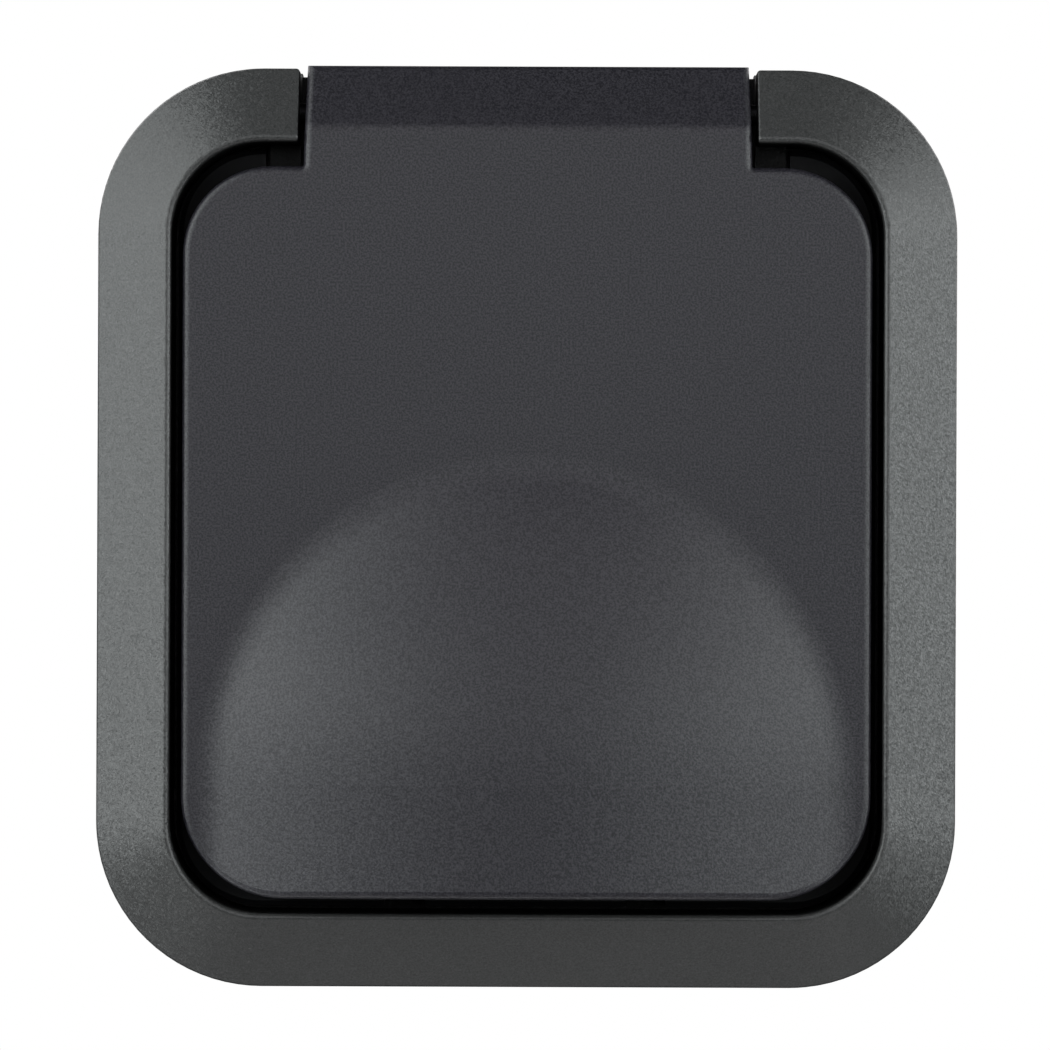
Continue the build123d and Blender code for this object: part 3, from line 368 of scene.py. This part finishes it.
MATERIALS = {
    "frame_plastic": frame_plastic(),
    "lid_plastic": lid_plastic(),
    **{name: moulded(name, *finish) for name, finish in MOULDED_FINISHES.items()},
    **{name: metal(name, *finish) for name, finish in METAL_FINISHES.items()},
}


def dress_nodes():
    """Give every carried-over piece the finish of its slot in the record."""
    for row in frame["record"]["subparts"]:
        piece = nodes[row["node"]]
        piece.data.materials.clear()
        piece.data.materials.append(MATERIALS[row["material_slot"]])


def at(x, depth, height):
    """A point in millimetres, with its depth counted from the wall out into the room."""
    return Vector((x, -depth, height)) * MM


def add_piece(name, verts, faces, slot):
    """A smooth-shaded mesh piece with the finish of this slot."""
    mesh = bpy.data.meshes.new(name)
    mesh.from_pydata(verts, [], faces)
    mesh.shade_smooth()
    mesh.materials.append(MATERIALS[slot])
    piece = bpy.data.objects.new(name, mesh)
    bpy.context.scene.collection.objects.link(piece)
    return piece


def wire(name, points, radius, slot, sides=14):
    """A round wire along these points, closed at both ends."""
    verts, faces = [], []
    across = None
    for index, point in enumerate(points):
        ahead = (points[min(index + 1, len(points) - 1)] - points[max(index - 1, 0)]).normalized()
        across = ahead.orthogonal() if across is None else across - ahead * across.dot(ahead)
        across.normalize()
        sideways = ahead.cross(across)
        for step in range(sides):
            angle = math.tau * step / sides
            verts.append(point + radius * (math.cos(angle) * across + math.sin(angle) * sideways))
    for ring in range(0, len(verts) - sides, sides):
        for step in range(sides):
            after = (step + 1) % sides
            faces.append((ring + step, ring + after, ring + sides + after, ring + sides + step))
    faces.append(tuple(reversed(range(sides))))
    faces.append(tuple(range(len(verts) - sides, len(verts))))
    return add_piece(name, verts, faces, slot)


def wind_lid_spring():
    """Torsion spring round the hinge pin: one leg rests on the frame's bridge, one under the lid's tab."""
    def on_coil(x, turn):
        angle = math.radians(turn)
        depth = HINGE[0] + LID_COIL_RADIUS * math.cos(angle)
        return at(x, depth, HINGE[1] + LID_COIL_RADIUS * math.sin(angle))

    def tangent(tip, sense):
        across, up = tip[0] - HINGE[0], tip[1] - HINGE[1]
        reach = math.acos(LID_COIL_RADIUS / math.hypot(across, up))
        return math.degrees(math.atan2(up, across) + sense * reach)

    first, last = LID_COIL_ENDS
    start = tangent(FIXED_TIP, 1) % 360
    finish = tangent(MOVING_TIP, -1) + 360 * LID_COIL_TURNS
    count = round((finish - start) / LID_COIL_STEP)
    points = [at(first, *FIXED_TIP)]
    for step in range(count + 1):
        share = step / count
        points.append(on_coil(first + (last - first) * share, start + (finish - start) * share))
    points.append(at(last, *MOVING_TIP))
    spring = wire("lid_spring_wire", points, LID_WIRE_RADIUS * MM, "spring_steel")
    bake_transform(spring)
    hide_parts("lid_spring")


def wind_shutter_spring():
    """Flat return coil between the shutter and the insert's base."""
    first, last = SHUTTER_COIL_ENDS
    count = SHUTTER_TURN_POINTS * SHUTTER_COIL_TURNS
    points = []
    for step in range(count + 1):
        angle = math.tau * SHUTTER_COIL_TURNS * step / count
        depth = first + (last - first) * step / count
        points.append(at(SHUTTER_COIL_RADIUS * math.cos(angle), depth, SHUTTER_COIL_RADIUS * math.sin(angle)))
    spring = wire("shutter_spring_wire", points, SHUTTER_WIRE_RADIUS * MM, "spring_steel", sides=10)
    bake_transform(spring)
    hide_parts("shutter_spring")


def stroke_corners(start, end):
    """The corners of a straight stroke that runs past both points by half its width."""
    run = (end - start).normalized() * STROKE_WIDTH / 2
    side = Vector((-run.y, run.x))
    return [start - run - side, end + run - side, end + run + side, start - run + side]


def add_terminal_marks():
    """Raised line, neutral and earth marks beside the release levers."""
    face = -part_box("insert_back")[1].y / MM
    for name, ((across, up), strokes) in TERMINAL_MARKS.items():
        verts, faces = [], []
        for start, end in strokes:
            corners = stroke_corners(Vector(start), Vector(end))
            base = len(verts)
            for depth in (face + STROKE_SINK, face - STROKE_RAISE):
                verts += [at(across - corner.x, depth, up + corner.y) for corner in corners]
            faces.append((base + 7, base + 6, base + 5, base + 4))
            for edge in range(4):
                after = (edge + 1) % 4
                faces.append((base + edge, base + 4 + edge, base + 4 + after, base + after))
        mark = add_piece(f"{name}_mark", verts, faces, "insert_plastic")
        mark.data.shade_flat()
        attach(mark, "socket")


def add_floor():
    """A plain pale floor well below the socket."""
    mesh = bpy.data.meshes.new("floor")
    half = FLOOR_SIDE / 2
    corners = [(-half, -half), (half, -half), (half, half), (-half, half)]
    mesh.from_pydata([(x, y, FLOOR_HEIGHT) for x, y in corners], [], [(0, 1, 2, 3)])
    floor = bpy.data.objects.new("floor", mesh)
    bpy.context.scene.collection.objects.link(floor)
    material, tree, shader, where = start_material("floor_paint")
    cloud = noise(tree, where, FLOOR_CLOUD)
    feed(tree, shader, base_color=tint(tree, cloud, FLOOR_DARK, FLOOR_LIGHT), roughness=0.9)
    feed(tree, shader, emission_color=(1, 1, 1, 1), emission_strength=FLOOR_GLOW)
    material.cycles.emission_sampling = "NONE"
    mesh.materials.append(material)
    floor.visible_diffuse = False
    floor.visible_glossy = False


def add_softbox(name, angle, elevation, width, height, brightness, colour):
    """A rectangular soft light facing the socket, not seen by the camera itself."""
    light = bpy.data.lights.new(name, "AREA")
    light.shape = "RECTANGLE"
    light.size = width
    light.size_y = height
    light.color = colour
    light.energy = math.pi * width * height * brightness
    lamp = bpy.data.objects.new(name, light)
    turn, lift = math.radians(angle), math.radians(elevation)
    outward = Vector((math.sin(turn) * math.cos(lift), -math.cos(turn) * math.cos(lift), math.sin(lift)))
    lamp.location = outward * LIGHT_DISTANCE
    lamp.rotation_euler = (-outward).to_track_quat("-Z", "Y").to_euler()
    lamp.visible_camera = False
    bpy.context.scene.collection.objects.link(lamp)


def light_studio():
    """White surround, a very weak even fill, and the soft lights."""
    world = bpy.data.worlds.new("studio")
    bpy.context.scene.world = world
    world.use_nodes = True
    tree = world.node_tree
    fill = tree.nodes["Background"]
    feed(tree, fill, color=(1, 1, 1, 1), strength=FILL_LIGHT)
    seen = use(tree, "ShaderNodeBackground")
    feed(tree, seen, color=(1, 1, 1, 1), strength=1.0)
    path = use(tree, "ShaderNodeLightPath")
    mix = use(tree, "ShaderNodeMixShader")
    tree.links.new(path.outputs["Is Camera Ray"], mix.inputs["Fac"])
    tree.links.new(fill.outputs[0], mix.inputs[1])
    tree.links.new(seen.outputs[0], mix.inputs[2])
    tree.links.new(mix.outputs[0], tree.nodes["World Output"].inputs["Surface"])
    for name, settings in SOFT_LIGHTS.items():
        add_softbox(name, *settings)


def add_camera():
    """Camera at the height of the socket's centre, looking straight at the wall."""
    camera = bpy.data.cameras.new("camera")
    camera.sensor_width = SENSOR_WIDTH
    camera.lens = FOCAL_PIXELS / IMAGE_SIDE * SENSOR_WIDTH
    camera.shift_x, camera.shift_y = CENTRE_SHIFT
    seen = bpy.data.objects.new("camera", camera)
    facing_wall = Matrix.Rotation(math.radians(90), 4, "X")
    seen.matrix_world = (
        Matrix.Translation((0, -CAMERA_DISTANCE, 0)) @ facing_wall @ Matrix.Rotation(CAMERA_ROLL, 4, "Z")
    )
    bpy.context.scene.collection.objects.link(seen)
    bpy.context.scene.camera = seen


dress_nodes()
wind_lid_spring()
wind_shutter_spring()
add_terminal_marks()
add_floor()
light_studio()
add_camera()
bpy.context.scene.view_settings.view_transform = "Standard"
